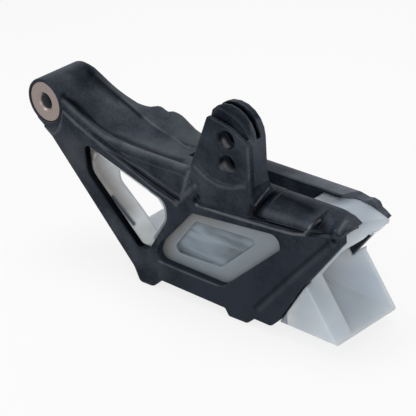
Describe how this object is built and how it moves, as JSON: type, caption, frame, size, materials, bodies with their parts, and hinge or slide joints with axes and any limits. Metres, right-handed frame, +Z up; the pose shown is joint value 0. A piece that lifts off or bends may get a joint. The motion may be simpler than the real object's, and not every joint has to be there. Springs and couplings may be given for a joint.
{
  "type": "chain guard",
  "caption": "Moulded motorbike chain guard with a translucent wear insert the chain runs through, a raised bolt lug and a flanged front bushing.",
  "frame": {"origin": "middle of the part's box, on the plane through the soles of the two feet", "axes": "+X along the chain towards the rear wheel, +Y from the lug's side to the far side, +Z up"},
  "size_m": [0.22, 0.0466, 0.118],
  "materials": {
    "black_nylon": "moulded, semi-matte",
    "milky_plastic": "milky, slightly translucent",
    "machined_steel": "satin, turned"
  },
  "bodies": {
    "root": {"housing": "black_nylon", "wear_insert": "milky_plastic", "front_bushing": "machined_steel"}
  },
  "joints": []
}
